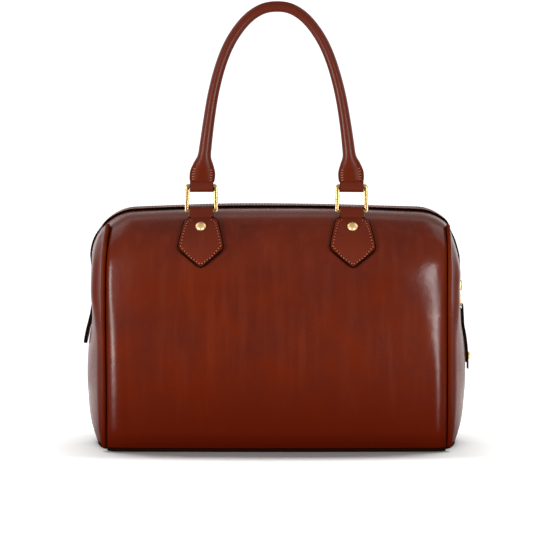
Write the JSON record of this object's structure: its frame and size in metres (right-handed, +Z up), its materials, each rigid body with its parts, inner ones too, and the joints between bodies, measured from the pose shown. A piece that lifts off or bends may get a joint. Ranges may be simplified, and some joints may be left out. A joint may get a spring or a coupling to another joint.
{
  "type": "leather bowling bag",
  "caption": "Boxy leather bowling bag with rolled shoulders, piped upright seams, a zip over the top and down the sides, and rolled handles on brass rings.",
  "frame": {"origin": "centre of the flat base, on the floor", "axes": "+X to the right seen from the front, +Y to the back, +Z up; the front faces -Y"},
  "size_m": [0.3327, 0.1827, 0.3736],
  "materials": {
    "leather": "waxed, glossy",
    "dark_leather": "waxed, with dark edges",
    "zip_tape": "woven tape with metal teeth",
    "brass": "polished"
  },
  "bodies": {
    "root": {"base_panel": "leather", "front_panel": "leather", "back_panel": "leather", "side_gusset_left": "leather", "side_gusset_right": "leather", "piping_front_left": "leather", "piping_front_right": "leather", "piping_back_left": "leather", "piping_back_right": "leather", "zip_band_front": "leather", "zip_band_back": "leather", "zip_chain": "zip_tape", "zip_end_tab_left": "dark_leather", "zip_slider": "brass", "zip_pull": "dark_leather", "zip_pull_stud": "brass", "chape_front_left": "leather", "chape_front_right": "leather", "chape_back_left": "leather", "chape_back_right": "leather", "ring_front_left": "brass", "ring_front_right": "brass", "ring_back_left": "brass", "ring_back_right": "brass", "stud_front_left": "brass", "stud_front_right": "brass", "stud_back_left": "brass", "stud_back_right": "brass", "handle_front": "leather", "handle_back": "leather"}
  },
  "joints": []
}
